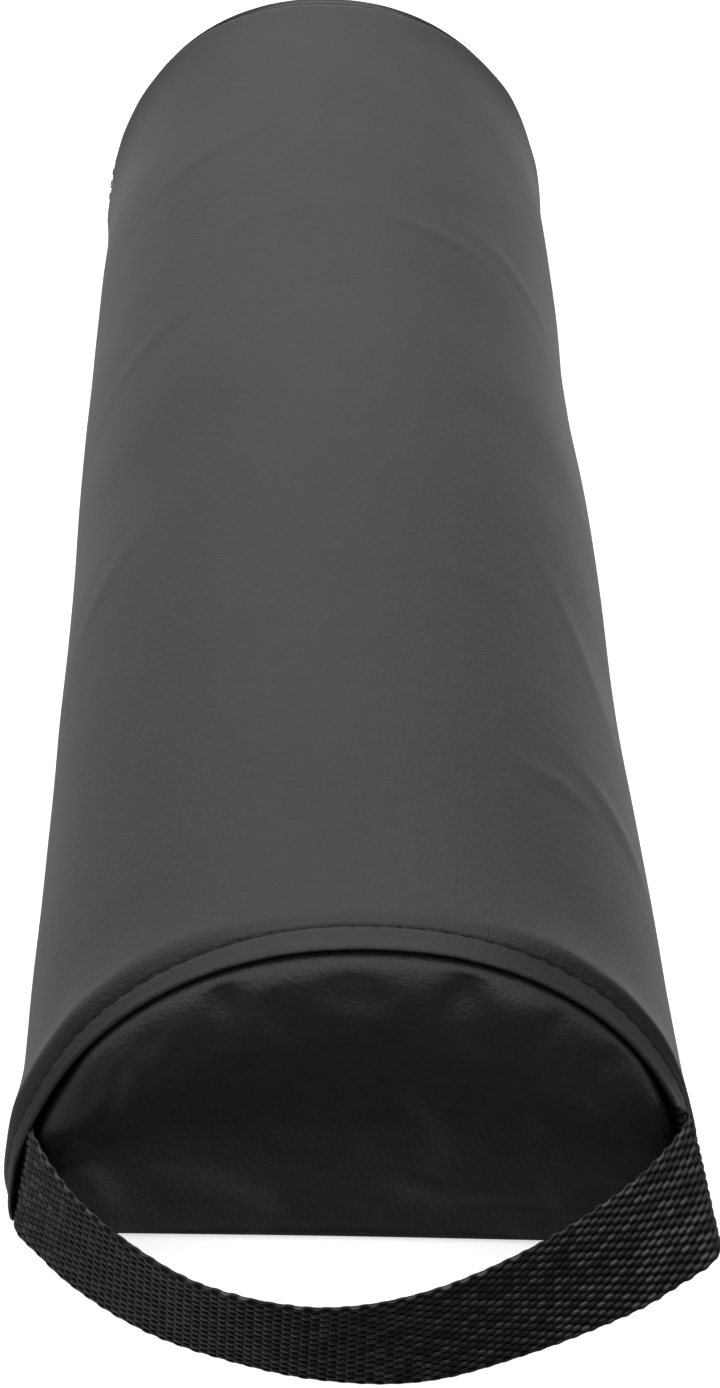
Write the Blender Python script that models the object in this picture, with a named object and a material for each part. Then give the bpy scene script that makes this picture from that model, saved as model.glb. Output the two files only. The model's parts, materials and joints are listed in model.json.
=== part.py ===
"""Half-round massage bolster: foam core, zipped leathercloth cover, webbing carry strap.

Metres, +Z up. The origin is the middle of the flat base. The length runs along Y,
and the end that carries the strap faces -Y.
"""
import math

import bmesh
import bpy
from mathutils import Vector

# Driving dimensions
LENGTH = 0.660             # from the lip of one end to the lip of the other
HALF_WIDTH = 0.103         # half of the widest breadth, on the ridge beside an end seam
HEIGHT = 0.116             # base to crown, on the same ridge
WIDEST_Z = 0.005           # height at which the cross-section is widest
DOME_POWER = 2.12          # exponent of the dome's superellipse, 2 is a true ellipse
CORNER_RUN = 0.010         # sideways run of the rounded lower long edge
CLEARANCE = 0.0003         # gap kept between neighbouring solids

COVER_THICKNESS = 0.0012
BODY_INSET = 0.0008        # the cover's main run stands this far inside the ridge
BASE_RISE_LIMIT = 0.0010   # most that the base lifts in the seam groove and at the lip

# End seam: distance in from the lip, and how far the cover is drawn in there
SEAM_PROFILE = (
    (0.0000, 0.0034),
    (0.0012, 0.0024),
    (0.0058, 0.0014),
    (0.0076, 0.0019),
    (0.0100, 0.0012),
    (0.0150, 0.0000),
)
STITCH_STATION = 0.0076    # the topstitch lies in the groove, this far in from the lip
THREAD_RADIUS = 0.0003

# Foam block
FOAM_END_GAP = 0.012       # the foam stops this far behind each lip
FOAM_INSET = BODY_INSET + COVER_THICKNESS + 0.0005

# End panels
PANEL_THICKNESS = 0.0012
PANEL_EDGE_RECESS = 0.0022
PANEL_BULGE = 0.0042
PANEL_INSET = 0.0050       # room for the cover's lip around the panel
STRAP_ROOM = 0.0040        # further room where a strap tail is sewn in beside the panel
STRAP_MARGIN = 0.0050      # that room runs on this far above and below the webbing
PANEL_BASE_Z = 0.0026
PANEL_RINGS = (1.0, 0.92, 0.78, 0.58, 0.34, 0.14)

# Base zip, in a channel beside the centre line
ZIP_X = 0.048
CHANNEL_HALF = 0.015       # half width of the channel at the base
LEDGE_OUTER = 0.0095       # the cover's folded edge is level from here ...
LEDGE_INNER = 0.0062       # ... to here, on each side of the coils
LEDGE_Z = 0.0044
TAPE_Z = 0.0058
TAPE_THICKNESS = 0.0005
TAPE_INNER = 0.0006
TAPE_OUTER = 0.0135
COIL_INNER = 0.0007
COIL_OUTER = 0.0030
COIL_LOW = 0.0039
COIL_HIGH = 0.0055
GROOVE_HALF = 0.017        # the foam's own groove over the zip
GROOVE_Z = 0.0084
TAPE_END = 0.305           # the tapes run to this distance each side of the middle
COIL_END = 0.272           # the coils run to this distance each side of the middle
CHANNEL_OPEN_Y = 0.294     # the channel has its full section up to here ...
CHANNEL_CLOSED_Y = 0.308   # ... and is closed to a butt seam from here to the lips
STOP_LENGTH = 0.004
ZIP_STITCH_X = 0.0079      # the zip's stitch lines, from the zip's centre
ZIP_STITCH_END = 0.2935
SLIDER_Y = -0.266          # slider's middle when the zip is closed
SLIDER_HALF_LENGTH = 0.0055
SLIDER_HALF_WIDTH = 0.0048
PULL_AXIS_Z = 0.0013
PULL_AXIS_Y = SLIDER_Y + 0.0012
PULL_LENGTH = 0.024
PULL_HALF_WIDTH = 0.0030
PULL_THICKNESS = 0.0009

# Carry strap of 38 mm webbing. Each station is the lower and the upper edge of the
# webbing, from the left seam round to the right one: x, y from the front lip, z.
STRAP_THICKNESS = 0.0015
STRAP_CUT_X = 0.078        # the loose loop begins here, the sewn tails end
STRAP_STEPS = 4            # smooth steps between two stations
STRAP_ROUTE = (
    ((-0.0962, 0.0110, 0.0070), (-0.0914, 0.0110, 0.0440)),
    ((-0.0962, 0.0030, 0.0070), (-0.0914, 0.0030, 0.0440)),
    ((-0.0964, -0.0020, 0.0065), (-0.0914, -0.0020, 0.0435)),
    ((-0.0915, -0.0125, 0.0040), (-0.0868, -0.0150, 0.0420)),
    ((-0.0810, -0.0240, 0.0030), (-0.0780, -0.0280, 0.0408)),
    ((-0.0620, -0.0375, 0.0016), (-0.0610, -0.0440, 0.0390)),
    ((-0.0410, -0.0470, 0.0013), (-0.0410, -0.0560, 0.0380)),
    ((-0.0120, -0.0540, 0.0013), (-0.0125, -0.0620, 0.0380)),
    ((0.0180, -0.0550, 0.0024), (0.0160, -0.0575, 0.0400)),
    ((0.0480, -0.0495, 0.0070), (0.0450, -0.0450, 0.0445)),
    ((0.0765, -0.0410, 0.0145), (0.0700, -0.0280, 0.0490)),
    ((0.0900, -0.0355, 0.0200), (0.0820, -0.0180, 0.0530)),
    ((0.1010, -0.0285, 0.0245), (0.0905, -0.0085, 0.0565)),
    ((0.1035, -0.0185, 0.0240), (0.0925, -0.0045, 0.0583)),
    ((0.0995, -0.0070, 0.0220), (0.0890, -0.0015, 0.0588)),
    ((0.0959, -0.0010, 0.0212), (0.0859, -0.0003, 0.0582)),
    ((0.0957, 0.0030, 0.0212), (0.0857, 0.0030, 0.0582)),
    ((0.0957, 0.0110, 0.0212), (0.0857, 0.0110, 0.0582)),
)

FRONT_Y = -LENGTH / 2
DOME_STEPS = 34
CORNER_STEPS = 5


# Helpers

def clear_scene():
    """Empties the scene, so that the script builds the same model each time."""
    for old in list(bpy.data.objects):
        bpy.data.objects.remove(old, do_unlink=True)


def material(name, colour, roughness):
    """A plain principled material."""
    mat = bpy.data.materials.new(name)
    mat.use_nodes = True
    shader = mat.node_tree.nodes["Principled BSDF"]
    shader.inputs["Base Color"].default_value = (*colour, 1.0)
    shader.inputs["Roughness"].default_value = roughness
    mat.diffuse_color = (*colour, 1.0)
    return mat


def add_object(name, bm, mat):
    """Turns a bmesh into a named, smooth-shaded object with its faces pointing out."""
    bmesh.ops.recalc_face_normals(bm, faces=bm.faces)
    mesh = bpy.data.meshes.new(name)
    bm.to_mesh(mesh)
    bm.free()
    mesh.shade_smooth()
    mesh.set_sharp_from_angle(angle=math.radians(35))
    mesh.materials.append(mat)
    obj = bpy.data.objects.new(name, mesh)
    bpy.context.scene.collection.objects.link(obj)
    return obj


def loft(bm, rings):
    """Joins closed rings of equal count into one capped solid."""
    layers = [[bm.verts.new(point) for point in ring] for ring in rings]
    for near, far in zip(layers, layers[1:]):
        for i in range(len(near)):
            j = (i + 1) % len(near)
            bm.faces.new((near[i], near[j], far[j], far[i]))
    bm.faces.new(layers[0])
    bm.faces.new(list(reversed(layers[-1])))


def strip(bm, row, next_row):
    """Joins two open rows of vertices with a strip of quads."""
    for i in range(len(row) - 1):
        bm.faces.new((row[i], row[i + 1], next_row[i + 1], next_row[i]))


def prism_along_y(name, outline, start, end, mat):
    """A solid of constant section: outline is a closed list of (x, z)."""
    bm = bmesh.new()
    loft(bm, [[(x, y, z) for x, z in outline] for y in (start, end)])
    return add_object(name, bm, mat)


def tube(name, points, radius, mat):
    """A round thread through the points, with closed ends."""
    curve = bpy.data.curves.new(name, "CURVE")
    curve.dimensions = "3D"
    curve.bevel_depth = radius
    curve.bevel_resolution = 1
    curve.use_fill_caps = True
    curve.materials.append(mat)
    spline = curve.splines.new("POLY")
    spline.points.add(len(points) - 1)
    for spot, point in zip(spline.points, points):
        spot.co = (*point, 1.0)
    obj = bpy.data.objects.new(name, curve)
    bpy.context.scene.collection.objects.link(obj)
    return obj


def rectangle(x0, z0, x1, z1):
    """A closed rectangular outline."""
    return [(x0, z0), (x1, z0), (x1, z1), (x0, z1)]


# Cross-section

def dome_point(angle):
    """A point of the dome: angle 0 is the right side, pi the left."""
    cosine, sine = math.cos(angle), math.sin(angle)
    x = HALF_WIDTH * math.copysign(abs(cosine) ** (2 / DOME_POWER), cosine)
    z = WIDEST_Z + (HEIGHT - WIDEST_Z) * max(sine, 0.0) ** (2 / DOME_POWER)
    return x, z


def corner_point(side, angle):
    """A point of a rounded lower edge: angle 0 is the base, a right angle the side."""
    x = side * (HALF_WIDTH - CORNER_RUN + CORNER_RUN * math.sin(angle))
    return x, WIDEST_Z * (1 - math.cos(angle))


def arch():
    """The section's outer line from the right edge of the base over the dome to the left."""
    quarter = math.pi / 2
    right = [corner_point(1, quarter * i / CORNER_STEPS) for i in range(CORNER_STEPS)]
    dome = [dome_point(math.pi * i / DOME_STEPS) for i in range(DOME_STEPS + 1)]
    left = [corner_point(-1, quarter * i / CORNER_STEPS) for i in range(CORNER_STEPS)]
    return right + dome + list(reversed(left))


def shifted(points, distance):
    """The open line moved sideways by distance, to its left when that is positive."""
    moved = []
    for i, (x, z) in enumerate(points):
        x0, z0 = points[max(i - 1, 0)]
        x1, z1 = points[min(i + 1, len(points) - 1)]
        run = math.hypot(x1 - x0, z1 - z0)
        moved.append((x - (z1 - z0) / run * distance, z + (x1 - x0) / run * distance))
    return moved


def inset_arch(inset):
    """The arch drawn in by inset, level at the base."""
    rise = min(max(inset - BODY_INSET, 0.0), BASE_RISE_LIMIT)
    return [(x, max(z, rise)) for x, z in shifted(arch(), inset)]


def cover_line(inset, depth, opened):
    """One side of the cover: from the zip's right ledge over the dome to its left ledge.

    depth is 0 on the outside and the cover's thickness on the inside. opened is 1 where
    the zip's channel has its full section, and 0 where the base is closed by a butt seam.
    """
    rise = min(max(inset - BODY_INSET, 0.0), BASE_RISE_LIMIT)
    foot = rise + depth
    ledge = foot + (LEDGE_Z + depth - foot) * opened
    edge = CLEARANCE / 2 + (LEDGE_INNER - CLEARANCE / 2) * opened
    slope_foot = CHANNEL_HALF + depth * 0.5
    slope_top = LEDGE_OUTER + depth * 0.5
    line = [(ZIP_X + edge, ledge), (ZIP_X + slope_top, ledge), (ZIP_X + slope_foot, foot)]
    line += [(x, max(z, foot)) for x, z in shifted(arch(), inset + depth)]
    line += [(ZIP_X - slope_foot, foot), (ZIP_X - slope_top, ledge), (ZIP_X - edge, ledge)]
    return line


def cover_stations():
    """Y, inset and channel opening of every section of the cover, front to back."""
    front = [(FRONT_Y + run, inset, 0.0) for run, inset in SEAM_PROFILE if run < 0.02]
    front += [(-CHANNEL_CLOSED_Y, BODY_INSET, 0.0), (-CHANNEL_OPEN_Y, BODY_INSET, 1.0)]
    back = [(-y, inset, opened) for y, inset, opened in reversed(front)]
    return front + back


# Cover and foam

def build_cover(mat):
    """The one-piece wrap: base, lower edges and dome, open along the zip."""
    bm = bmesh.new()
    skins = ([], [])
    for y, inset, opened in cover_stations():
        for skin, depth in zip(skins, (0.0, COVER_THICKNESS)):
            line = cover_line(inset, depth, opened)
            skin.append([bm.verts.new((x, y, z)) for x, z in line])
    for rows in skins:
        for row, next_row in zip(rows, rows[1:]):
            strip(bm, row, next_row)
    outer, inner = skins
    for end in (0, -1):
        strip(bm, outer[end], inner[end])
        strip(bm, [row[end] for row in outer], [row[end] for row in inner])
    return add_object("wrap_cover", bm, mat)


def build_foam(mat):
    """The block of firm foam, with a shallow groove over the zip."""
    outline = inset_arch(FOAM_INSET)
    base = FOAM_INSET - BODY_INSET
    outline = [(x, max(z, base)) for x, z in outline]
    outline += [
        (ZIP_X - GROOVE_HALF, base),
        (ZIP_X - GROOVE_HALF, GROOVE_Z),
        (ZIP_X + GROOVE_HALF, GROOVE_Z),
        (ZIP_X + GROOVE_HALF, base),
    ]
    return prism_along_y("foam_core", outline, FRONT_Y + FOAM_END_GAP, -FRONT_Y - FOAM_END_GAP, mat)


def tail_heights(side):
    """Lowest and highest point of the webbing where its tail is sewn in."""
    low, high = STRAP_ROUTE[0] if side < 0 else STRAP_ROUTE[-1]
    return low[2] - STRAP_MARGIN, high[2] + STRAP_MARGIN


def panel_outline(strapped):
    """The panel's outline, drawn in beside the strap's tails on the strapped end."""
    tight = shifted(arch(), PANEL_INSET)
    roomy = shifted(arch(), PANEL_INSET + STRAP_ROOM)
    outline = []
    for near, far in zip(tight, roomy):
        low, high = tail_heights(near[0])
        x, z = far if strapped and low < near[1] < high else near
        outline.append((x, max(z, PANEL_BASE_Z)))
    return outline


def build_end_panel(name, end, mat):
    """A crowned D-shaped panel. end is -1 for the front and 1 for the rear."""
    outline = panel_outline(end < 0)
    centre = Vector((0.0, HEIGHT * 0.42))
    bm = bmesh.new()

    def ring(scale, depth):
        """One ring of the front face (depth 0) or of the back face."""
        bulge = PANEL_BULGE * (1 - scale ** 2)
        y = end * (LENGTH / 2 - PANEL_EDGE_RECESS + bulge - depth)
        spots = [centre + (Vector(point) - centre) * scale for point in outline]
        return [(spot.x, y, spot.y) for spot in spots]

    front = [ring(scale, 0.0) for scale in reversed(PANEL_RINGS)]
    back = [ring(scale, PANEL_THICKNESS) for scale in PANEL_RINGS]
    loft(bm, front + back)
    return add_object(name, bm, mat)


def build_topstitch(name, end, mat):
    """The thread line round an end, in the groove behind the lip."""
    inset = dict(SEAM_PROFILE)[STITCH_STATION]
    y = end * (LENGTH / 2 - STITCH_STATION)
    height = CLEARANCE + THREAD_RADIUS
    rise = min(inset - BODY_INSET, BASE_RISE_LIMIT) - height
    line = [(x, max(z, rise)) for x, z in shifted(arch(), inset - height)]
    line.insert(0, (ZIP_X + 0.002, rise))
    line.append((ZIP_X - 0.002, rise))
    return tube(name, [(x, y, z) for x, z in line], THREAD_RADIUS, mat)


# Carry strap

def smooth_route(route, steps):
    """A Catmull-Rom curve through the stations, as edge pairs."""
    pairs = [(Vector(low), Vector(high)) for low, high in route]
    ends = [pairs[0]] + pairs + [pairs[-1]]
    path = []
    for i in range(1, len(ends) - 2):
        for step in range(steps):
            t = step / steps
            spot = []
            for edge in (0, 1):
                a, b, c, d = (ends[i + k][edge] for k in (-1, 0, 1, 2))
                curve = 2 * b + (c - a) * t + (2 * a - 5 * b + 4 * c - d) * t ** 2
                spot.append((curve + (3 * b - a - 3 * c + d) * t ** 3) / 2)
            path.append(tuple(spot))
    path.append(pairs[-1])
    return path


def strap_rings():
    """Four-cornered sections of the webbing along its route."""
    path = smooth_route(STRAP_ROUTE, STRAP_STEPS)
    rings = []
    for i, (low, high) in enumerate(path):
        before = path[max(i - 1, 0)]
        after = path[min(i + 1, len(path) - 1)]
        along = (after[0] + after[1]) - (before[0] + before[1])
        half = along.cross(high - low).normalized() * STRAP_THICKNESS / 2
        shift = Vector((0.0, FRONT_Y, 0.0))
        rings.append([low - half + shift, low + half + shift, high + half + shift, high - half + shift])
    return rings


def build_strap_piece(name, cuts, mat):
    """The webbing between planes across X: each cut is a position and the side to take off."""
    bm = bmesh.new()
    loft(bm, strap_rings())
    for x, side in cuts:
        geometry = bm.verts[:] + bm.edges[:] + bm.faces[:]
        cut = bmesh.ops.bisect_plane(
            bm, geom=geometry, plane_co=(x, 0, 0), plane_no=(side, 0, 0), clear_outer=True)
        rim = [item for item in cut["geom_cut"] if isinstance(item, bmesh.types.BMEdge)]
        bmesh.ops.holes_fill(bm, edges=rim)
    return add_object(name, bm, mat)


def build_strap(mat):
    """The loose loop and the two tails that are sewn into the end seam."""
    half_gap = CLEARANCE / 2
    build_strap_piece("handle_tail_left", [(-STRAP_CUT_X - half_gap, 1)], mat)
    build_strap_piece(
        "handle_strap", [(-STRAP_CUT_X + half_gap, -1), (STRAP_CUT_X - half_gap, 1)], mat)
    build_strap_piece("handle_tail_right", [(STRAP_CUT_X + half_gap, -1)], mat)


# Base zip

def build_zip_side(word, side, tape_mat, coil_mat, thread_mat):
    """One tape with its coil and its stitch line."""
    tape = rectangle(ZIP_X + side * TAPE_INNER, TAPE_Z, ZIP_X + side * TAPE_OUTER, TAPE_Z + TAPE_THICKNESS)
    prism_along_y("zip_tape_" + word, tape, -TAPE_END, TAPE_END, tape_mat)
    coil = []
    for i in range(10):
        angle = 2 * math.pi * i / 10
        x = (COIL_INNER + COIL_OUTER) / 2 + (COIL_OUTER - COIL_INNER) / 2 * math.cos(angle)
        z = (COIL_LOW + COIL_HIGH) / 2 + (COIL_HIGH - COIL_LOW) / 2 * math.sin(angle)
        coil.append((ZIP_X + side * x, z))
    prism_along_y("zip_coil_" + word, coil, -COIL_END, COIL_END, coil_mat)
    z = LEDGE_Z - CLEARANCE - THREAD_RADIUS
    x = ZIP_X + side * ZIP_STITCH_X
    points = [(x, y, z) for y in (-ZIP_STITCH_END, 0.0, ZIP_STITCH_END)]
    tube("zip_stitch_" + word, points, THREAD_RADIUS, thread_mat)


def build_zip_stop(name, end, mat):
    """A metal stop clamped at an end of the coils."""
    start = end * (COIL_END + CLEARANCE)
    outline = rectangle(ZIP_X - COIL_OUTER, COIL_LOW, ZIP_X + COIL_OUTER, COIL_HIGH)
    prism_along_y(name, outline, start, start + end * STOP_LENGTH, mat)


def slider_outline():
    """Section of the slider: lower plate with flanges, a thin post, and an upper plate."""
    post = 0.0003
    flange = 0.0036
    low, deck, flange_top = 0.0026, 0.0035, 0.0054
    under, top = TAPE_Z + TAPE_THICKNESS + CLEARANCE, 0.0076
    wide = SLIDER_HALF_WIDTH
    right = [(wide, low), (wide, flange_top), (flange, flange_top), (flange, deck)]
    right += [(post, deck), (post, under), (wide, under), (wide, top)]
    left = [(-x, z) for x, z in reversed(right)]
    return [(ZIP_X + x, z) for x, z in right + left]


def add_box(bm, low, high):
    """Adds a box to the bmesh."""
    xs, ys, zs = zip(low, high)
    loft(bm, [[(xs[0], y, zs[0]), (xs[1], y, zs[0]), (xs[1], y, zs[1]), (xs[0], y, zs[1])] for y in ys])


def add_drum(bm, half_length, radius, centre_y, centre_z, sides=14):
    """Adds a round bar along X, centred on the zip."""
    rings = []
    for x in (ZIP_X - half_length, ZIP_X + half_length):
        turn = [2 * math.pi * i / sides for i in range(sides)]
        rings.append([(x, centre_y + radius * math.cos(a), centre_z + radius * math.sin(a)) for a in turn])
    loft(bm, rings)


def united(name, base_bm, added, mat):
    """The base solid with each added solid joined to it by a Boolean union."""
    obj = add_object(name, base_bm, mat)
    for number, bm in enumerate(added):
        tool = add_object(name + "_tool_" + str(number), bm, mat)
        tool.hide_render = True
        tool.display_type = "WIRE"
        union = obj.modifiers.new("union", "BOOLEAN")
        union.operation = "UNION"
        union.solver = "EXACT"
        union.object = tool
    return obj


def build_slider(mat):
    """The slider with the two ears and the pin that hold the pull tab."""
    body = bmesh.new()
    ends = (SLIDER_Y - SLIDER_HALF_LENGTH, SLIDER_Y + SLIDER_HALF_LENGTH)
    loft(body, [[(x, y, z) for x, z in slider_outline()] for y in ends])
    added = []
    for side in (-1, 1):
        ear = bmesh.new()
        near, far = sorted((ZIP_X + side * 0.0020, ZIP_X + side * 0.0028))
        add_box(ear, (near, PULL_AXIS_Y - 0.0009, 0.0007), (far, PULL_AXIS_Y + 0.0009, 0.0030))
        added.append(ear)
    pin = bmesh.new()
    add_drum(pin, 0.0024, 0.00035, PULL_AXIS_Y, PULL_AXIS_Z)
    added.append(pin)
    return united("zip_slider", body, added, mat)


def build_pull_tab(mat):
    """The pull tab: a knuckle round the slider's pin, a neck and a flat finger plate."""
    half = PULL_THICKNESS / 2
    low, high = PULL_AXIS_Z - half, PULL_AXIS_Z + half
    obj_bm = bmesh.new()
    add_drum(obj_bm, 0.0016, 0.0010, PULL_AXIS_Y, PULL_AXIS_Z)
    neck = bmesh.new()
    add_box(neck, (ZIP_X - 0.0013, PULL_AXIS_Y + 0.0008, low), (ZIP_X + 0.0013, PULL_AXIS_Y + 0.0030, high))
    plate = bmesh.new()
    tip = PULL_AXIS_Y + PULL_LENGTH
    add_box(plate, (ZIP_X - PULL_HALF_WIDTH, PULL_AXIS_Y + 0.0026, low), (ZIP_X + PULL_HALF_WIDTH, tip, high))
    obj = united("zip_pull_tab", obj_bm, [neck, plate], mat)
    bore = bmesh.new()
    add_drum(bore, 0.0030, 0.00065, PULL_AXIS_Y, PULL_AXIS_Z)
    cutter = add_object("zip_pull_bore_tool", bore, mat)
    cutter.hide_render = True
    cutter.display_type = "WIRE"
    cut = obj.modifiers.new("bore", "BOOLEAN")
    cut.operation = "DIFFERENCE"
    cut.solver = "EXACT"
    cut.object = cutter
    return obj


def main():
    clear_scene()
    leathercloth = material("leathercloth", (0.022, 0.022, 0.024), 0.45)
    webbing = material("webbing", (0.012, 0.012, 0.012), 0.75)
    thread = material("thread", (0.012, 0.012, 0.012), 0.55)
    foam = material("foam", (0.62, 0.60, 0.55), 0.95)
    zip_tape = material("zip_tape", (0.015, 0.015, 0.016), 0.85)
    zip_coil = material("zip_coil", (0.018, 0.018, 0.018), 0.35)
    zip_metal = material("zip_metal", (0.05, 0.05, 0.055), 0.30)
    zip_metal.node_tree.nodes["Principled BSDF"].inputs["Metallic"].default_value = 1.0

    build_foam(foam)
    build_cover(leathercloth)
    build_end_panel("front_end_panel", -1, leathercloth)
    build_end_panel("rear_end_panel", 1, leathercloth)
    build_topstitch("front_topstitch", -1, thread)
    build_topstitch("rear_topstitch", 1, thread)
    build_strap(webbing)
    for word, side in (("left", -1), ("right", 1)):
        build_zip_side(word, side, zip_tape, zip_coil, thread)
    build_zip_stop("zip_stop_front", -1, zip_metal)
    build_zip_stop("zip_stop_rear", 1, zip_metal)
    build_slider(zip_metal)
    build_pull_tab(zip_metal)


main()
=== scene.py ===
"""Looks of the half-round bolster: leathercloth cover, end panels, stitching, webbing strap and zip."""
import json
import math

import bmesh
import bpy
import numpy as np
from mathutils import Matrix, Vector


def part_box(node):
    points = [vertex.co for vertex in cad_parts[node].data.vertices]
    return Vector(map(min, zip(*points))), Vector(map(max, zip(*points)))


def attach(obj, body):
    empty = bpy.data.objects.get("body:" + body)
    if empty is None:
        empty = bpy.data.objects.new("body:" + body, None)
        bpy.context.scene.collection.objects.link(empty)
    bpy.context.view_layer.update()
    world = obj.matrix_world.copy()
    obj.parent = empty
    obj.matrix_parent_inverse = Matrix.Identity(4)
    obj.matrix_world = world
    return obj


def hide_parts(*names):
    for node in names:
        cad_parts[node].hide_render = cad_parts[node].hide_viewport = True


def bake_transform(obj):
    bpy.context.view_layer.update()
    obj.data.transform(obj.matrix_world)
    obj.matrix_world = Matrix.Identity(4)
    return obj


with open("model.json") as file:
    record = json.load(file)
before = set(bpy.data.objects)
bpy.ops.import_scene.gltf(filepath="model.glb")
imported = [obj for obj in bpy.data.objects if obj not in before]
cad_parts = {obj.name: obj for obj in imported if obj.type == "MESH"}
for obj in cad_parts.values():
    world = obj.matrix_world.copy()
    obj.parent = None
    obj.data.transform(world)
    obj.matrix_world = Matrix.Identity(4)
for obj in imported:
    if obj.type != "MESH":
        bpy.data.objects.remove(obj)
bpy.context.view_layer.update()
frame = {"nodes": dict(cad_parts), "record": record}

# Main sizes, all read from the frame
COVER_LOW, COVER_HIGH = (Vector(corner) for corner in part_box("wrap_cover"))
HALF_WIDTH = COVER_HIGH.x
HEIGHT = COVER_HIGH.z
HALF_LENGTH = COVER_HIGH.y
ZIP_LOW, ZIP_HIGH = (Vector(corner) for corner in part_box("zip_slider"))
ZIP_X = (ZIP_LOW.x + ZIP_HIGH.x) / 2

# Cross-section
WIDEST_Z = 0.005
DOME_POWER = 2.12
CORNER_RUN = 0.011
AROUND = 420               # points round the section

# End seam, from the hidden inside of the folded lip over its crest, the band and the stitch
# groove to the puffed ridge and the body. Each row: the distance in from the lip, and how far
# the surface is drawn in at the crown and on the flanks
SEAM_CURVE = (
    (0.0080, 0.0044, 0.0046), (0.0040, 0.0043, 0.0045), (0.0014, 0.0042, 0.0044),
    (0.0004, 0.0038, 0.0041), (0.0000, 0.0032, 0.0035), (0.0004, 0.0026, 0.0028),
    (0.0011, 0.0023, 0.0026), (0.0024, 0.0025, 0.0045), (0.0050, 0.0021, 0.0038),
    (0.0077, 0.0015, 0.0024), (0.0085, 0.0022, 0.0032), (0.0092, 0.0013, 0.0020),
    (0.0106, 0.0010, 0.0006), (0.0124, 0.0007, -0.0006), (0.0148, 0.0007, -0.0008),
    (0.0200, 0.0010, 0.0001), (0.0300, 0.0015, 0.0012), (0.0450, 0.0019, 0.0019),
    (0.0700, 0.0022, 0.0022),
)
SEAM_STEPS = 3             # stations between two points of the curve
BODY_STATIONS = 140
BODY_INSET = 0.0022
FOAM_INSET = 0.0090
FOAM_END_GAP = 0.014       # the foam stops this far behind each lip
COVER_DEPTH = 0.0078       # the closed skin's inner side lies this far in, over the zip's channel
SPLAY = 0.0014             # the strap pulls the seam outward at its left foot
BASE_TUCK = 0.0045         # under the bolster the cover ends behind the end panel
STITCH_RUN = 0.0085        # the stitch groove lies this far in from the lip
STITCH_INSETS = (0.0020, 0.0029)   # at the crown, on the flanks
STITCH_PITCH = 0.0065
STITCH_LENGTH = 0.0047
THREAD_RADIUS = 0.00030
STITCH_PULL = 0.00022      # between two stitches the groove is drawn in by this much more
STITCH_PULL_HALF = 0.0016  # half width of what is drawn in
BASE_RISE = 0.0010         # the seam lifts off the ground by at most this

# Seeded waves of the cover's surface. Each: height, seed, wave length
SWELL = (0.0007, 5, 0.19)
RIPPLE = (0.00022, 9, 0.055)
GATHER = (0.00030, 13, 0.028)
LIP_ROUGHNESS = (0.00009, 17, 0.0045)
GATHER_STRETCH = 0.15      # the gathers run along the bolster, so they change slowly that way
# Distances in from the lip over which they, the tuck and the drift come and go
BODY_START = (0.004, 0.060)
GATHER_START, GATHER_END = (0.0085, 0.0110), (0.013, 0.050)
LIP_END = (0.0010, 0.0030)
TUCK_END = (0.002, 0.020)
DRIFT_START, DRIFT_END = (0.0, 0.006), (0.0092, 0.0145)

# Channel in the base for the zip: how deep it is under the tapes and how much more over the
# coils, and the slopes at its sides, counted inward to the zip's middle line, and at its ends
CHANNEL_DEPTH = 0.0044
CHANNEL_SIDES = (-0.0150, -0.0095)
ROOF_DEPTH = 0.0026
ROOF_SIDES = (-0.0066, -0.0058)
CHANNEL_ENDS = (-0.306, -0.294)

# Wrinkles of the cover, which bunches a little along its length. Each row: middle (round from
# the crown, along the bolster), half length, half width, lean, height
WRINKLES = (
    (0.035, 0.113, 0.027, 0.0050, -0.12, 0.00055),
    (0.085, 0.122, 0.026, 0.0080, -0.30, 0.00050),
    (0.066, -0.230, 0.015, 0.0040, 0.00, 0.00060),
    (0.098, -0.221, 0.020, 0.0065, -0.42, 0.00080),
    (0.090, -0.128, 0.018, 0.0120, -1.60, 0.00050),
    (0.028, -0.133, 0.026, 0.0060, 0.00, 0.00030),
    (0.130, 0.100, 0.045, 0.0750, 0.00, -0.00230),
    (0.130, -0.100, 0.045, 0.0700, 0.00, -0.00240),
    (-0.130, -0.020, 0.045, 0.0700, 0.00, -0.00120),
    (-0.130, 0.300, 0.045, 0.0600, 0.00, -0.00240),
    (-0.088, 0.060, 0.022, 0.0060, 0.25, 0.00040),
    (-0.104, -0.085, 0.022, 0.0080, 0.40, 0.00045),
    (-0.060, 0.195, 0.024, 0.0055, 0.15, 0.00040),
)

# End panels
PANEL_CELLS = 120
PANEL_CENTRE = (0.0, 0.042)
PANEL_ASPECT = 0.60        # height to breadth of the D
PANEL_INSET = 0.0050       # from the section's outline to the panel's border
STRAP_ROOM = 0.0012        # more where the strap comes out of the seam
PANEL_FOOT = 0.0007        # the panel's lower edge hangs this far above the ground
PANEL_SET_BACK = 0.0008    # the border lies this far behind the lip
PANEL_WALL = 0.0040
PANEL_SHOULDER = 0.0290
PANEL_BULGE = 0.0098
PANEL_LOW = (-0.060, 0.0)  # the bulge fades between these heights, counted downward
PANEL_FADE = 0.60          # and loses this share of itself
PANEL_STEEPNESS = 3
PANEL_SKEW = 0.25          # the shoulder is this share wider at the right end, narrower at the left
PANEL_PRESSURE = 2.0
PANEL_GROW = 0.012         # spare cloth
PANEL_CAP = 0.0008         # most that the settling may move a point
PANEL_HELD = 0.0008        # the seam holds the cloth this far in from the border
PANEL_EASE = (0.001, 0.008)    # from here to here the settling comes in
PANEL_SMOOTHING = 5        # rounds of smoothing of what the settling moved
PANEL_FRAMES = 24
CLOTH_QUALITY = 5
CLOTH_MASS = 0.15
CLOTH_STRETCH = 25         # stiffness against stretching and squeezing
CLOTH_SHEAR = 12
CLOTH_BENDING = 3.0
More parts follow.
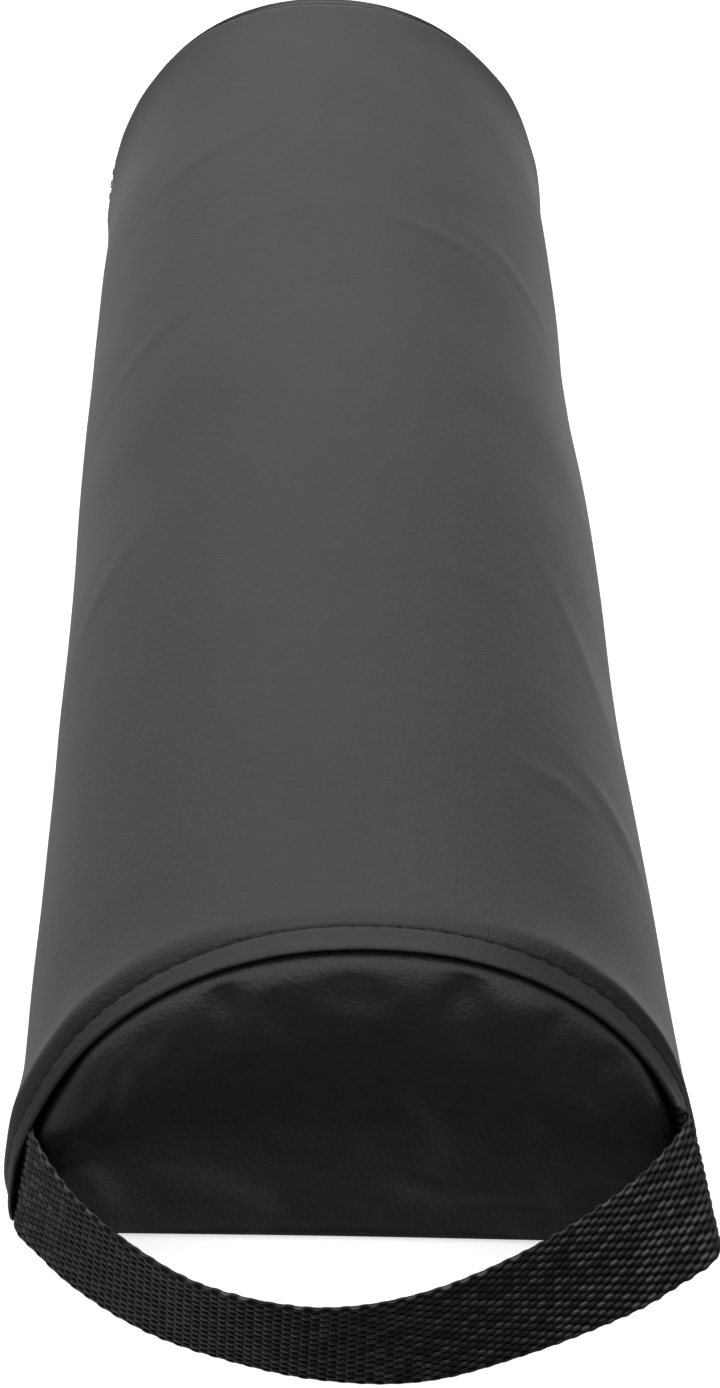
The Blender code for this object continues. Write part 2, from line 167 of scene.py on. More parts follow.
CLOTH_DAMPING = 15
# Puckers of the front panel: x, z, half length, half width, lean, height
FRONT_PUCKERS = (
    (-0.040, 0.0965, 0.0055, 0.0050, 0.4, -0.0026),
    (-0.029, 0.0870, 0.0130, 0.0045, 0.7, 0.0009),
    (0.025, 0.1010, 0.0060, 0.0065, 0.0, -0.0030),
    (0.043, 0.0975, 0.0080, 0.0090, -0.4, 0.0012),
    (0.051, 0.0915, 0.0050, 0.0035, -0.5, -0.0012),
    (0.070, 0.0780, 0.0070, 0.0050, -0.9, -0.0010),
    (0.010, 0.0600, 0.0160, 0.0110, 0.3, 0.0008),
    (0.045, 0.0590, 0.0140, 0.0120, -0.3, 0.0008),
    (-0.055, 0.0620, 0.0150, 0.0100, 0.6, 0.0006),
)
REAR_PUCKERS = (
    (-0.045, 0.088, 0.009, 0.0050, 0.4, -0.0018),
    (0.004, 0.100, 0.009, 0.0050, 0.1, -0.0014),
    (0.040, 0.092, 0.009, 0.0050, -0.4, -0.0018),
    (0.060, 0.080, 0.009, 0.0050, -0.7, 0.0010),
)


def smooth(x, low, high):
    """Smoothstep of x from low to high."""
    t = np.clip((np.asarray(x, float) - low) / (high - low), 0.0, 1.0)
    return t * t * (3 - 2 * t)


def spline_spot(a, b, c, d, t):
    """The point at t, from 0 to 1, between b and c on the smooth curve through a, b, c and d."""
    spot = 2 * b + (c - a) * t + (2 * a - 5 * b + 4 * c - d) * t ** 2
    return (spot + (3 * b - a - 3 * c + d) * t ** 3) / 2


def link(name, mesh, mat, body="root"):
    """A new object that rides on a body and takes its finish from a slot."""
    obj = bpy.data.objects.new(name, mesh)
    bpy.context.scene.collection.objects.link(obj)
    if mat:
        mesh.materials.append(mat)
    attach(obj, body)
    return obj


def grid_faces(rows, columns, close_rows=False, close_columns=False):
    """Quads between the points of a grid, as an array of vertex numbers."""
    number = np.arange(rows * columns).reshape(rows, columns)
    if close_rows:
        number = np.vstack([number, number[:1]])
    if close_columns:
        number = np.hstack([number, number[:, :1]])
    quads = (number[:-1, :-1], number[1:, :-1], number[1:, 1:], number[:-1, 1:])
    return np.stack([corner.ravel() for corner in quads], axis=1)


def faces_to_lists(faces):
    """Faces as lists of plain whole numbers."""
    return [[int(number) for number in face] for face in faces]


def make_mesh(name, points, faces, flip=False):
    """A smooth-shaded mesh from an array of points and a list of faces."""
    mesh = bpy.data.meshes.new(name)
    faces = faces_to_lists(faces)
    if flip:
        faces = [face[::-1] for face in faces]
    mesh.from_pydata(np.asarray(points).reshape(-1, 3).tolist(), [], faces)
    mesh.shade_smooth()
    return mesh


def face_outward(mesh):
    """Turns the faces of a closed mesh outward."""
    shape = bmesh.new()
    shape.from_mesh(mesh)
    bmesh.ops.recalc_face_normals(shape, faces=shape.faces)
    shape.to_mesh(mesh)
    shape.free()


# Cross-section of the bolster

def section_outline(count):
    """Even points round the section, from the middle of the base to the right and over the dome.

    Returns the points (x, z), the outward directions there, and the length of the outline.
    """
    quarter = np.linspace(0, math.pi / 2, 40)
    corner_x = HALF_WIDTH - CORNER_RUN + CORNER_RUN * np.sin(quarter)
    corner_z = WIDEST_Z * (1 - np.cos(quarter))
    turn = np.linspace(0, math.pi, 1200)[1:-1]
    dome_x = HALF_WIDTH * np.sign(np.cos(turn)) * np.abs(np.cos(turn)) ** (2 / DOME_POWER)
    dome_z = WIDEST_Z + (HEIGHT - WIDEST_Z) * np.sin(turn) ** (2 / DOME_POWER)
    base = np.linspace(0, HALF_WIDTH - CORNER_RUN, 60)[:-1]
    xs = np.concatenate([base, corner_x, dome_x, -corner_x[::-1], -base[::-1]])
    zs = np.concatenate([base * 0, corner_z, dome_z, corner_z[::-1], base * 0])
    run = np.concatenate([[0], np.cumsum(np.hypot(np.diff(xs), np.diff(zs)))])
    spots = np.linspace(0, run[-1], count, endpoint=False)
    points = np.stack([np.interp(spots, run, xs), np.interp(spots, run, zs)], axis=1)
    along = np.roll(points, -2, axis=0) - np.roll(points, 2, axis=0)
    along /= np.linalg.norm(along, axis=1, keepdims=True)
    return points, np.stack([along[:, 1], -along[:, 0]], axis=1), run[-1]


OUTLINE, OUTWARD, PERIMETER = section_outline(AROUND)
AROUND_RUN = np.arange(AROUND) * PERIMETER / AROUND
CROWN_RUN = PERIMETER / 2 - AROUND_RUN      # round the section from the crown, + to the right
FLANK_FOOT = np.where(OUTLINE[:, 0] > 0, 0.030, 0.0)    # the flank's seam flattens low down
FLANK = smooth(np.abs(OUTLINE[:, 0]) / HALF_WIDTH, 0.15, 0.60) * (
    0.15 + 0.85 * smooth(OUTLINE[:, 1] - FLANK_FOOT, 0.018, 0.050))
ON_BASE = smooth(-OUTLINE[:, 1], -0.004, 0.0)    # 1 on the flat base, 0 from 4 mm up
# The stitching wanders away from the lip on the right
SEAM_DRIFT = 0.0020 * smooth(OUTLINE[:, 0], 0.020, 0.085)


# Cover

def noise_wave(y, s, wave, octaves=5):
    """A smooth, seeded wave field over the cover: y along it, s round it, both in metres."""
    height, seed, scale = wave
    rng = np.random.default_rng(seed)
    total = np.zeros(np.broadcast(y, s).shape)
    for _ in range(octaves):
        heading = rng.uniform(0, 2 * math.pi)
        length = scale * rng.uniform(0.7, 1.6)
        phase = rng.uniform(0, 2 * math.pi)
        way = y * math.cos(heading) + s * math.sin(heading)
        total += np.sin(2 * math.pi * way / length + phase)
    return height * (total / octaves)


def channel_height(x, y):
    """How far the base is let in for the zip at a point."""
    off = np.abs(x - ZIP_X)
    ramp = CHANNEL_DEPTH * smooth(-off, *CHANNEL_SIDES)
    roof = ROOF_DEPTH * smooth(-off, *ROOF_SIDES)
    return (ramp + roof) * smooth(-np.abs(y), *CHANNEL_ENDS)


def wrinkle_height(station_y):
    """The sculpted wrinkles of the cover along one ring."""
    total = np.zeros(AROUND)
    for at_run, at_y, half_run, half_width, lean, height in WRINKLES:
        along = CROWN_RUN - at_run
        across = station_y - at_y - lean * along
        total += height * np.exp(-(along / half_run) ** 2 - (across / half_width) ** 2)
    return total


def cover_surface(station_y, insets, end_run):
    """Points of one ring of the cover's outside."""
    inset = insets[0] * (1 - FLANK) + insets[1] * FLANK
    points = OUTLINE.copy()
    s = AROUND_RUN
    fade = 1 - ON_BASE
    away = smooth(end_run, *BODY_START)
    swell = noise_wave(station_y, s, SWELL) * away
    ripple = noise_wave(station_y, s, RIPPLE) * away
    gather = noise_wave(station_y * GATHER_STRETCH, s, GATHER) * (
        smooth(end_run, *GATHER_START) * (1 - smooth(end_run, *GATHER_END)))
    rough_lip = noise_wave(0.0, s, LIP_ROUGHNESS, 6) * (1 - smooth(end_run, *LIP_END))
    beat = 0.5 + 0.5 * np.cos(2 * math.pi * s / STITCH_PITCH)
    groove = np.exp(-((end_run - STITCH_RUN) / STITCH_PULL_HALF) ** 2)
    pull = rough_lip - STITCH_PULL * beat * groove
    left = smooth(-OUTLINE[:, 0], 0.085, 0.100)
    low = smooth(-OUTLINE[:, 1], -0.060, -0.025) * smooth(OUTLINE[:, 1], -0.003, 0.012)
    near = 1 - smooth(station_y, -HALF_LENGTH + 0.012, -HALF_LENGTH + 0.050)
    splay = SPLAY * left * low * near
    offset = -inset + (swell + ripple + gather + wrinkle_height(station_y)) * fade + pull + splay
    moved = points + OUTWARD * offset[:, None]
    rise = np.clip(inset - BODY_INSET, 0.0, BASE_RISE)
    flat = np.maximum(moved[:, 1], rise) + channel_height(points[:, 0], station_y) * ON_BASE
    moved[:, 1] = np.where(ON_BASE > 0.5, flat, np.maximum(moved[:, 1], 0.0))
    tuck = BASE_TUCK * ON_BASE * (1 - smooth(end_run, *TUCK_END))
    drift = SEAM_DRIFT * smooth(end_run, *DRIFT_START) * (1 - smooth(end_run, *DRIFT_END))
    ys = station_y - math.copysign(1.0, station_y) * (tuck + drift)
    return np.stack([moved[:, 0], ys, moved[:, 1]], axis=1)


def seam_stations():
    """Distance from the lip and inset of the stations of one end, smoothly interpolated."""
    knots = np.array(SEAM_CURVE)
    padded = np.vstack([knots[:1], knots, knots[-1:]])
    stations = []
    for a, b, c, d in zip(padded, padded[1:], padded[2:], padded[3:]):
        for step in range(SEAM_STEPS):
            stations.append(spline_spot(a, b, c, d, step / SEAM_STEPS))
    stations.append(knots[-1])
    return stations


def build_cover(mat):
    """The wrap: a closed skin whose outside carries the seams, ridges and wrinkles."""
    ends = seam_stations()
    last_run = ends[-1][0]
    rings = [cover_surface(-HALF_LENGTH + end[0], end[1:], end[0]) for end in ends]
    for y in np.linspace(-HALF_LENGTH + last_run, HALF_LENGTH - last_run, BODY_STATIONS)[1:-1]:
        run = HALF_LENGTH - abs(y)
        rings.append(cover_surface(y, (BODY_INSET, BODY_INSET), run))
    rings += [cover_surface(HALF_LENGTH - end[0], end[1:], end[0]) for end in reversed(ends)]
    inside = []
    for y in np.linspace(HALF_LENGTH - 0.010, -HALF_LENGTH + 0.010, 8):
        ring = OUTLINE - OUTWARD * COVER_DEPTH
        raised = np.maximum(ring[:, 1], COVER_DEPTH)
        inside.append(np.stack([ring[:, 0], np.full(AROUND, y), raised], axis=1))
    points = np.array(rings + inside)
    faces = grid_faces(len(points), AROUND, close_rows=True, close_columns=True)
    cover = link("cover", make_mesh("cover", points, faces, flip=True), mat)
    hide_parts("wrap_cover")


def panel_edge(count):
    """Border of an end panel in its own plane, by even turns about PANEL_CENTRE: x and z."""
    room = PANEL_INSET + STRAP_ROOM * smooth(np.abs(OUTLINE[:, 0]), 0.080, 0.092)
    edge = OUTLINE - OUTWARD * (room * (1 - ON_BASE) + PANEL_FOOT * ON_BASE)[:, None]
    edge[:, 1] = np.maximum(edge[:, 1], PANEL_FOOT)
    turn = np.unwrap(np.arctan2(edge[:, 1] - PANEL_CENTRE[1], edge[:, 0] - PANEL_CENTRE[0]))
    wanted = np.linspace(0, 2 * math.pi, count, endpoint=False)
    return [np.interp(wanted, turn, edge[:, k], period=2 * math.pi) for k in (0, 1)]


def panel_grid(cells):
    """A square grid bent to the D of the end panel: x, z, and the way in from the border."""
    ticks = np.linspace(-1, 1, cells + 1)
    u, v = np.meshgrid(ticks, ticks)
    disc_x, disc_z = u * np.sqrt(1 - v * v / 2), v * np.sqrt(1 - u * u / 2)
    reach = 1 - (1 - np.clip(np.hypot(disc_x, disc_z), 0, 1)) ** 1.5    # finer towards the border
    turn = np.mod(np.arctan2(disc_z * PANEL_ASPECT, disc_x), 2 * math.pi)
    turns = np.linspace(0, 2 * math.pi, 2049)
    edge_x, edge_z = panel_edge(2048)
    edge_x, edge_z = np.append(edge_x, edge_x[0]), np.append(edge_z, edge_z[0])
    at_x, at_z = np.interp(turn, turns, edge_x), np.interp(turn, turns, edge_z)
    x = PANEL_CENTRE[0] + (at_x - PANEL_CENTRE[0]) * reach
    z = PANEL_CENTRE[1] + (at_z - PANEL_CENTRE[1]) * reach
    return x, z, np.hypot(at_x - x, at_z - z)


def panel_swell(x, z, depth, puckers):
    """How far the panel stands out at a point, before the cloth settles."""
    low = smooth(-z, *PANEL_LOW)
    shoulder = PANEL_SHOULDER * (1 + PANEL_SKEW * x / HALF_WIDTH)
    rise = np.sqrt(1 - np.exp(-PANEL_STEEPNESS * depth / shoulder))
    out = PANEL_BULGE * (1 - PANEL_FADE * low) * rise
    for at_x, at_z, long, wide, lean, height in puckers:
        across = (x - at_x) * math.cos(lean) + (z - at_z) * math.sin(lean)
        along = (z - at_z) * math.cos(lean) - (x - at_x) * math.sin(lean)
        pucker = height * np.exp(-(across / wide) ** 2 - (along / long) ** 2)
        out = out + pucker * smooth(depth, 0.0, 0.003)
    return out


def settle(obj, pins, pressure, grow, frames):
    """Lets a cloth settle, held where pins is 1, and returns where its points come to rest."""
    group = obj.vertex_groups.new(name="held")
    for number, weight in enumerate(pins):
        if weight > 0:
            group.add([number], float(weight), "REPLACE")
    cloth = obj.modifiers.new("cloth", "CLOTH")
    cloth.settings.quality = CLOTH_QUALITY
    cloth.settings.mass = CLOTH_MASS
    cloth.settings.tension_stiffness = CLOTH_STRETCH
    cloth.settings.compression_stiffness = CLOTH_STRETCH
    cloth.settings.shear_stiffness = CLOTH_SHEAR
    cloth.settings.bending_stiffness = CLOTH_BENDING
    cloth.settings.tension_damping = CLOTH_DAMPING
    cloth.settings.compression_damping = CLOTH_DAMPING
    cloth.settings.vertex_group_mass = "held"
    cloth.settings.shrink_min = -grow
    cloth.settings.use_pressure = True
    cloth.settings.uniform_pressure_force = pressure
    cloth.settings.effector_weights.gravity = 0
    cloth.collision_settings.use_collision = False
    cloth.point_cache.frame_start = 1
    cloth.point_cache.frame_end = frames
    scene = bpy.context.scene
    scene.frame_start, scene.frame_end = 1, frames
    for number in range(1, frames + 1):
        scene.frame_set(number)
    shape = obj.evaluated_get(bpy.context.evaluated_depsgraph_get()).to_mesh()
    points = np.empty(len(shape.vertices) * 3)
    shape.vertices.foreach_get("co", points)
    obj.modifiers.remove(cloth)
    obj.vertex_groups.remove(group)
    return points.reshape(-1, 3)


def smoothed(field, turns):
    """A grid of values, averaged with its neighbours a number of times."""
    for _ in range(turns):
        wide = np.pad(field, ((1, 1), (1, 1), (0, 0)), mode="edge")
        total = wide[1:-1, 1:-1] * 2 + wide[:-2, 1:-1] + wide[2:, 1:-1]
        field = (total + wide[1:-1, :-2] + wide[1:-1, 2:]) / 6
    return field


def build_panel(name, end, mat, node, puckers):
    """A D-shaped end panel that swells out of the seam. end is -1 in front, 1 behind."""
    cells = PANEL_CELLS
    side = cells + 1
    x, z, depth = panel_grid(cells)
    out = panel_swell(x, z, depth, puckers)
    ys = end * (HALF_LENGTH - PANEL_SET_BACK + out)
    points = np.stack([x, ys, z], axis=2)
    faces = grid_faces(side, side)
    panel = link(name, make_mesh(name, points, faces, flip=end < 0), mat)
    pins = (depth.ravel() < PANEL_HELD).astype(float)
    rest = settle(panel, pins, PANEL_PRESSURE, PANEL_GROW, PANEL_FRAMES)
    moved = (rest.reshape(side, side, 3) - points) * smooth(depth, *PANEL_EASE)[..., None]
    size = np.linalg.norm(moved, axis=2, keepdims=True)
    moved *= np.minimum(1.0, PANEL_CAP / np.maximum(size, 1e-9))
    points = points + smoothed(moved, PANEL_SMOOTHING)
    points[:, :, 2] = np.maximum(points[:, :, 2], PANEL_FOOT)
    close_panel(panel, points, end)
    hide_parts(node)


def close_panel(panel, points, end):
    """Gives the settled sheet its border wall and a flat back, and one subdivision."""
    side = len(points)
    rim = np.concatenate([
        np.arange(side), np.arange(1, side) * side + side - 1,
        side * side - 2 - np.arange(side - 1), (side - 2 - np.arange(side - 2)) * side])
    front = points.reshape(-1, 3)
    back = front.copy()
    back[:, 1] = end * (HALF_LENGTH - PANEL_SET_BACK - PANEL_WALL)
    sheet = grid_faces(side, side)
    after = np.roll(rim, -1)
    wall = np.stack([rim, after, after + len(front), rim + len(front)], axis=1)
    faces = np.vstack([sheet, sheet[:, ::-1] + len(front), wall])
    mesh = make_mesh(panel.name, np.vstack([front, back]), faces)
    mesh.materials.append(panel.data.materials[0])
    panel.data = mesh
    face_outward(mesh)
    smooth_once = panel.modifiers.new("subdivision", "SUBSURF")
    smooth_once.levels = 1
    smooth_once.render_levels = 1


# Stitching

def capsule(start, end, up, radius, sag, sides=8, steps=9):
    """Points and faces of one stitch: a thread that dives into the cloth at both ends."""
    axis = end - start
    side = np.cross(axis, up)
    side /= np.linalg.norm(side)
    rings = []
    for t in np.linspace(0, 1, steps):
        lift = sag * (1 - (2 * t - 1) ** 4) - sag
        wide = radius * (0.55 + 0.45 * math.sin(math.pi * t) ** 0.4)
        middle = start + axis * t + up * lift
        for k in range(sides):
            angle = 2 * math.pi * (k / sides + t * 0.5)
            rings.append(middle + wide * (math.cos(angle) * side + math.sin(angle) * up))
    faces = [tuple(f) for f in grid_faces(steps, sides, close_columns=True)]
    caps = [tuple(range(sides)), tuple(reversed(range((steps - 1) * sides, steps * sides)))]
    return np.array(rings), faces, caps


def stitch_row(name, path, ups, pitch, length, mat, node, radius=THREAD_RADIUS, sag=0.0007):
    """A row of stitches along a path of evenly spaced points."""
    path, ups = np.asarray(path), np.asarray(ups)
    run = np.concatenate([[0], np.cumsum(np.linalg.norm(np.diff(path, axis=0), axis=1))])
    points, faces = [], []

    def at(table, spot):
        return np.array([np.interp(spot, run, table[:, k]) for k in range(3)])

    for number in range(int(run[-1] / pitch)):
        middle = (number + 0.5) * pitch
        start, end = at(path, middle - length / 2), at(path, middle + length / 2)
        up = at(ups, middle)
        body, quads, caps = capsule(start, end, up / np.linalg.norm(up), radius, sag)
        base = sum(len(block) for block in points)
        points.append(body)
        faces += [tuple(base + v for v in face) for face in quads + caps]
    mesh = bpy.data.meshes.new(name)
    mesh.from_pydata(np.vstack(points).tolist(), [], faces)
    mesh.shade_smooth()
    row = link(name, mesh, mat)
    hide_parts(node)


def build_topstitch(name, end, mat, node):
    """The stitches round one end, in the groove behind the lip."""
    ys = end * (HALF_LENGTH - STITCH_RUN - SEAM_DRIFT)
    inset = STITCH_INSETS[0] * (1 - FLANK) + STITCH_INSETS[1] * FLANK
    spots = OUTLINE + OUTWARD * (THREAD_RADIUS - inset)[:, None]
    spots[:, 1] = np.maximum(spots[:, 1], 0.0008)
    path = np.stack([spots[:, 0], ys, spots[:, 1]], axis=1)
    ups = np.stack([OUTWARD[:, 0], np.zeros(AROUND), OUTWARD[:, 1]], axis=1)
    path, ups = np.vstack([path, path[:1]]), np.vstack([ups, ups[:1]])
    stitch_row(name, path, ups, STITCH_PITCH, STITCH_LENGTH, mat, node)


# Strap: lower and upper edge of the webbing, x, y from the front lip, z
STRAP_ROUTE = (
    ((-0.0988, 0.0100, 0.0035), (-0.0942, 0.0100, 0.0425)),
    ((-0.0993, 0.0030, 0.0035), (-0.0945, 0.0030, 0.0425)),
    ((-0.0988, -0.0035, 0.0035), (-0.0933, -0.0030, 0.0425)),
    ((-0.0920, -0.0125, 0.0040), (-0.0873, -0.0150, 0.0420)),
    ((-0.0810, -0.0240, 0.0030), (-0.0780, -0.0280, 0.0408)),
    ((-0.0620, -0.0375, 0.0016), (-0.0610, -0.0440, 0.0390)),
    ((-0.0410, -0.0470, 0.0013), (-0.0410, -0.0560, 0.0380)),
    ((-0.0120, -0.0550, 0.0013), (-0.0125, -0.0620, 0.0380)),
    ((0.0180, -0.0562, 0.0024), (0.0160, -0.0575, 0.0400)),
    ((0.0480, -0.0495, 0.0070), (0.0450, -0.0450, 0.0445)),
    ((0.0765, -0.0410, 0.0145), (0.0700, -0.0280, 0.0490)),
    ((0.0900, -0.0355, 0.0200), (0.0820, -0.0180, 0.0530)),
    ((0.1018, -0.0280, 0.0238), (0.0905, -0.0085, 0.0565)),
    ((0.1024, -0.0180, 0.0235), (0.0925, -0.0045, 0.0583)),
    ((0.0995, -0.0070, 0.0220), (0.0890, -0.0015, 0.0588)),
    ((0.0965, 0.0030, 0.0212), (0.0868, 0.0030, 0.0582)),
    ((0.0962, 0.0100, 0.0212), (0.0865, 0.0100, 0.0582)),
)
STRAP_HALF = 0.00045       # half the thickness of the webbing's core
FLOAT_LENGTH = 0.0026      # a warp yarn lies on top for this long, then dives for as long
WEAVE_ROWS = 28            # warp yarns across the strap
FINE_ALONG = 7             # mesh points per float
FINE_ACROSS = 4            # mesh points per yarn
WEAVE_RELIEF = 0.00070
TURNED_FLOATS = (5, 9)     # the right tail is pressed flat to here, where it turns out of the seam
BUMP_LONG = 0.72           # half length of a float, in floats
BUMP_WIDE = 0.74           # half width of a float, in yarns
PRESSED = 0.3              # share of the relief that the pressed tail keeps
SELVEDGE_NOTCH = 0.00030   # the edge swings in and out by this much from float to float
STRAP_STEPS = 24           # points between two rows of the route
# Numbers of a fixed hash that gives each float a value of its own
HASH_ALONG, HASH_ACROSS, HASH_SCALE = 12.9898, 78.233, 43758.5453


def strap_path():
    """Smooth edge curves of the webbing, sampled evenly along the strap."""
    knots = np.array(STRAP_ROUTE)
    knots[:, :, 1] -= HALF_LENGTH
    padded = np.concatenate([knots[:1], knots, knots[-1:]])
    dense = []
    for a, b, c, d in zip(padded, padded[1:], padded[2:], padded[3:]):
        dense += [spline_spot(a, b, c, d, t) for t in np.linspace(0, 1, STRAP_STEPS, endpoint=False)]
    dense = np.array(dense)
    middle = dense.mean(axis=1)
    run = np.concatenate([[0], np.cumsum(np.linalg.norm(np.diff(middle, axis=0), axis=1))])
    floats = int(round(run[-1] / FLOAT_LENGTH))
    spots = np.linspace(0, run[-1], floats * FINE_ALONG + 1)
    edges = np.stack([[np.interp(spots, run, dense[:, e, k]) for k in range(3)] for e in (0, 1)])
    return edges.transpose(0, 2, 1), floats


def weave_height(u, v):
    """Relief of a plain weave: u counts floats along the strap, v counts yarns across it.

    Returns the height, 0 in the pits and about 1 on top, and a number of its own for each float.
    """
    height = np.zeros(np.broadcast(u, v).shape)
    mark = np.zeros(height.shape)
    for step in (-1, 0, 1):
        yarn = np.floor(v) + step
        shift = np.mod(yarn, 2)
        number = np.round((u - shift) / 2)
        along = np.abs(u - 2 * number - shift) / BUMP_LONG
        across = (v - yarn - 0.5) / BUMP_WIDE
        luck = np.mod(np.sin(number * HASH_ALONG + yarn * HASH_ACROSS) * HASH_SCALE, 1.0)
        dome = np.clip(1 - along ** 2.2 - across ** 2, 0, 1) ** 0.6 * (0.75 + 0.35 * luck)
        mark = np.where(dome > height, luck, mark)
        height = np.maximum(height, dome)
    return height, mark


def build_strap(mat):
    """The webbing as one woven band, which bends from its sewn tails into the loose loop."""
    (low, high), floats = strap_path()
    count = len(low)
    across = WEAVE_ROWS * FINE_ACROSS + 1
    v = np.linspace(0, WEAVE_ROWS, across)
    u = np.arange(count) / FINE_ALONG
    along = np.gradient((low + high) / 2, axis=0)
    normal = np.cross(along, high - low)
    normal /= np.linalg.norm(normal, axis=1, keepdims=True)
    share = (v / WEAVE_ROWS)[None, :, None]
    core = low[:, None] * (1 - share) + high[:, None] * share
    wide = (high - low) / np.linalg.norm(high - low, axis=1, keepdims=True)
    round_edge = np.sqrt(np.clip(np.minimum(v, WEAVE_ROWS - v), 0, 1))
    skins, heights, marks = [], [], []
    for side in (1, -1):
        height, mark = weave_height(u[:, None] + (0 if side > 0 else 1), v[None, :])
        height = np.maximum(height, 0.5 - 0.5 * np.minimum(v, WEAVE_ROWS - v))
        height *= PRESSED + (1 - PRESSED) * smooth(floats - u, *TURNED_FLOATS)[:, None]
        lift = (STRAP_HALF + height * WEAVE_RELIEF) * round_edge[None, :]
        skins.append(core + side * normal[:, None] * lift[..., None])
        heights.append(height)
        marks.append(mark)
    notch = SELVEDGE_NOTCH * np.cos(math.pi * u)[:, None] * wide
    for skin in skins:
        skin[:, 0] -= notch
        skin[:, -1] += notch
    ring, height, mark = (
        np.concatenate([pair[0], pair[1][:, -2:0:-1]], axis=1) for pair in (skins, heights, marks))
    around = ring.shape[1]
    faces = [list(face) for face in grid_faces(count, around, close_columns=True)]
    faces.append(list(reversed(range(around))))
    faces.append(list(range((count - 1) * around, count * around)))
    mesh = bpy.data.meshes.new("strap")
    mesh.from_pydata(ring.reshape(-1, 3).tolist(), [], faces)
    mesh.shade_smooth()
    # relief is the weave's height, which the webbing material also uses to paint shade into the pits; luck
    # is each float's own value
    for label, values in (("relief", height), ("luck", mark)):
        layer = mesh.attributes.new(label, "FLOAT", "POINT")
        layer.data.foreach_set("value", values.ravel())
    strap = bpy.data.objects.new("strap", mesh)
    bpy.context.scene.collection.objects.link(strap)
    mesh.materials.append(mat)
    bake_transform(strap)
    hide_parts("handle_strap", "handle_tail_left", "handle_tail_right")


# Materials

def new_material(name):
    """A node material and its principled shader."""
    mat = bpy.data.materials.new(name)
    mat.use_nodes = True
    return mat, mat.node_tree, mat.node_tree.nodes["Principled BSDF"]


def add_node(tree, kind, values=(), **settings):
    """A shader node with its settings and its sockets' values."""
    node = tree.nodes.new(kind)
    for key, value in settings.items():
        setattr(node, key, value)
    for key, value in dict(values).items():
        node.inputs[key].default_value = value
    return node


def leather_material():
    """Black leathercloth: a satin skin with a fine pebbled grain."""
    mat, tree, shader = new_material("leathercloth")
    wires = tree.links
    place = add_node(tree, "ShaderNodeTexCoord")
    grain = add_node(tree, "ShaderNodeTexVoronoi", {"Scale": 900.0, "Randomness": 1.0}, feature="SMOOTH_F1")
    grain.inputs["Smoothness"].default_value = 0.6
    fine = add_node(tree, "ShaderNodeTexNoise", {"Scale": 2200.0, "Detail": 3.0, "Roughness": 0.6})
    broad = add_node(tree, "ShaderNodeTexNoise", {"Scale": 260.0, "Detail": 4.0, "Roughness": 0.55})
    cloud = add_node(tree, "ShaderNodeTexNoise", {"Scale": 14.0, "Detail": 3.0, "Roughness": 0.5})
    for texture in (grain, fine, broad, cloud):
        wires.new(place.outputs["Object"], texture.inputs["Vector"])
    first = add_node(tree, "ShaderNodeBump", {"Strength": 0.6, "Distance": 0.00022})
    second = add_node(tree, "ShaderNodeBump", {"Strength": 0.5, "Distance": 0.00018})
    third = add_node(tree, "ShaderNodeBump", {"Strength": 0.35, "Distance": 0.00030})
    wires.new(grain.outputs["Distance"], first.inputs["Height"])
    wires.new(fine.outputs["Fac"], second.inputs["Height"])
    wires.new(broad.outputs["Fac"], third.inputs["Height"])
    wires.new(third.outputs["Normal"], first.inputs["Normal"])
    wires.new(first.outputs["Normal"], second.inputs["Normal"])
    wires.new(second.outputs["Normal"], shader.inputs["Normal"])
    rough = add_node(tree, "ShaderNodeMapRange", {"To Min": 0.40, "To Max": 0.52})
    wires.new(cloud.outputs["Fac"], rough.inputs["Value"])
    wires.new(rough.outputs["Result"], shader.inputs["Roughness"])
    tint = add_node(tree, "ShaderNodeValToRGB")
    tint.color_ramp.elements[0].position = 0.35
    tint.color_ramp.elements[0].color = (0.0092, 0.0083, 0.0087, 1)
    tint.color_ramp.elements[1].position = 0.75
    tint.color_ramp.elements[1].color = (0.0135, 0.0122, 0.0127, 1)
    wires.new(broad.outputs["Fac"], tint.inputs["Fac"])
    wires.new(tint.outputs["Color"], shader.inputs["Base Color"])
    shader.inputs["Specular IOR Level"].default_value = 0.5
    return mat


